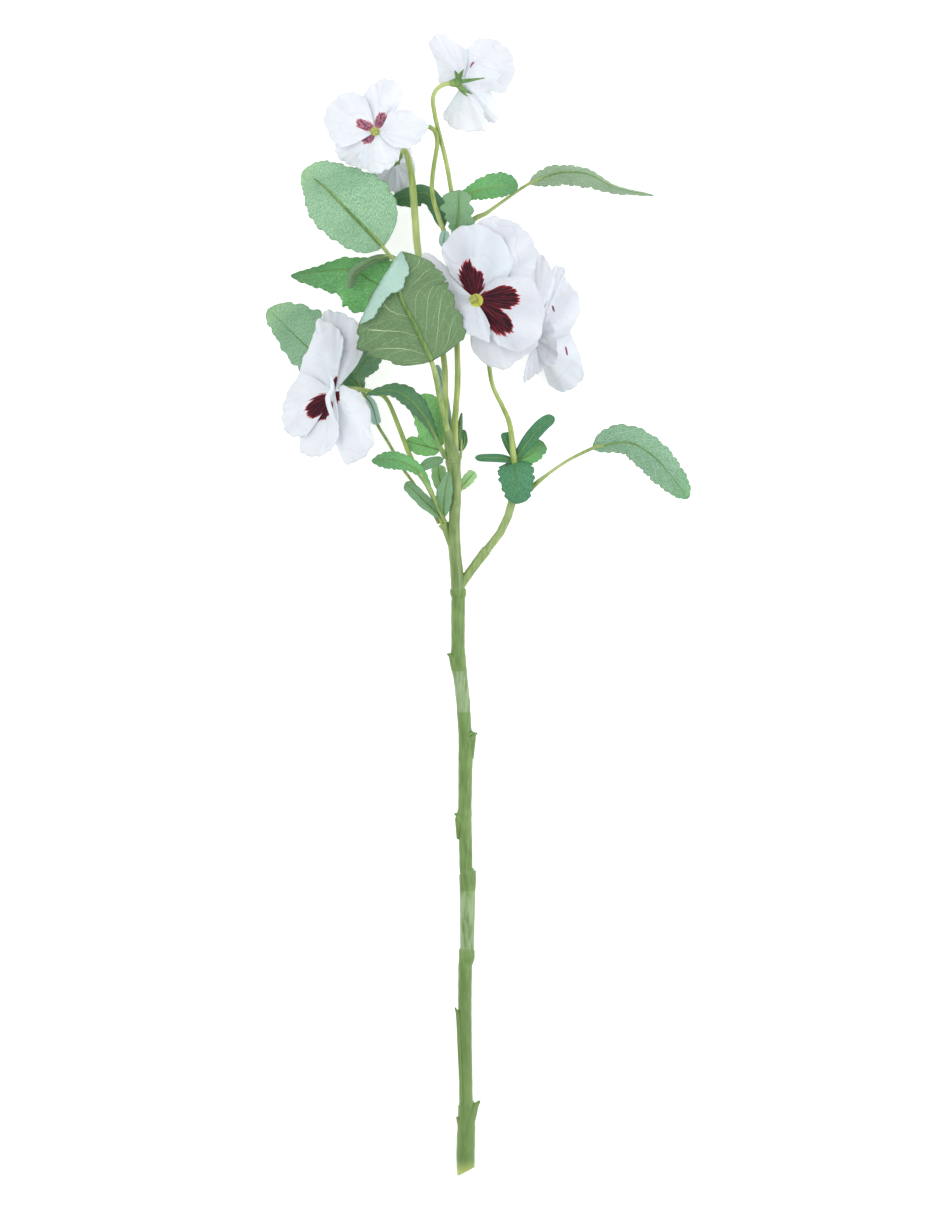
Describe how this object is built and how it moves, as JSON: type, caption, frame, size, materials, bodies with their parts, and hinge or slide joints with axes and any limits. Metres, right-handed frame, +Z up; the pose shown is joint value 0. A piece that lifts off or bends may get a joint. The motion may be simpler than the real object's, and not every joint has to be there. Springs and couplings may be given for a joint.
{
  "type": "artificial pansy spray",
  "caption": "Artificial pansy spray lying down: long moulded green stem, crenate leaves and white blooms with dark maroon blotches.",
  "frame": {"origin": "centre of the bounding box's underside, on the surface that the spray lies on", "axes": "+Y along the stem from the cut end to the blooms, +X to the right seen from above, +Z up from the surface"},
  "size_m": [0.2122, 0.5708, 0.0762],
  "materials": {
    "stem": "semi-gloss moulded",
    "stalk": "semi-gloss moulded",
    "leaf_dark": "printed cloth, matt",
    "leaf_mid": "printed cloth, matt",
    "leaf_pale": "printed cloth, mottled",
    "leaf_mint": "printed cloth, matt",
    "petal": "fine cloth, printed blotches",
    "calyx": "matt moulded",
    "eye": "matt moulded"
  },
  "bodies": {
    "root": {"stem_lower": "stem", "stem_fork": "stem", "stalk_axis": "stalk", "stalk_a": "stalk", "stalk_b": "stalk", "stalk_c": "stalk", "stalk_d": "stalk", "stalk_e": "stalk", "stalk_f": "stalk", "leaf_front": "leaf_dark", "leaf_upper_left": "leaf_pale", "leaf_left": "leaf_mid", "leaf_curled": "leaf_mid", "sprig_left": "leaf_dark", "leaf_arched": "leaf_dark", "leaf_bright": "leaf_mid", "leaf_strip": "leaf_mint", "leaf_pointed": "leaf_dark", "sprig_collar": "leaf_mint", "leaf_behind_stem": "leaf_mid", "leaf_small_right": "leaf_mid", "leaf_top_mint": "leaf_mint", "leaf_top_dark": "leaf_dark", "leaf_top_small": "leaf_mint", "leaf_top_right": "leaf_mid", "leaf_far_right": "leaf_pale", "leaf_long_right": "leaf_mid", "sprig_right": "leaf_dark", "bloom_a_petals": "petal", "bloom_a_calyx": "calyx", "bloom_b_petals": "petal", "bloom_b_calyx": "calyx", "bloom_b_eye": "eye", "bloom_c_petals": "petal", "bloom_c_calyx": "calyx", "bloom_d_petals": "petal", "bloom_d_calyx": "calyx", "bloom_d_eye": "eye", "bloom_e_petals": "petal", "bloom_e_calyx": "calyx", "bloom_f_petals": "petal", "bloom_f_calyx": "calyx"}
  },
  "joints": []
}
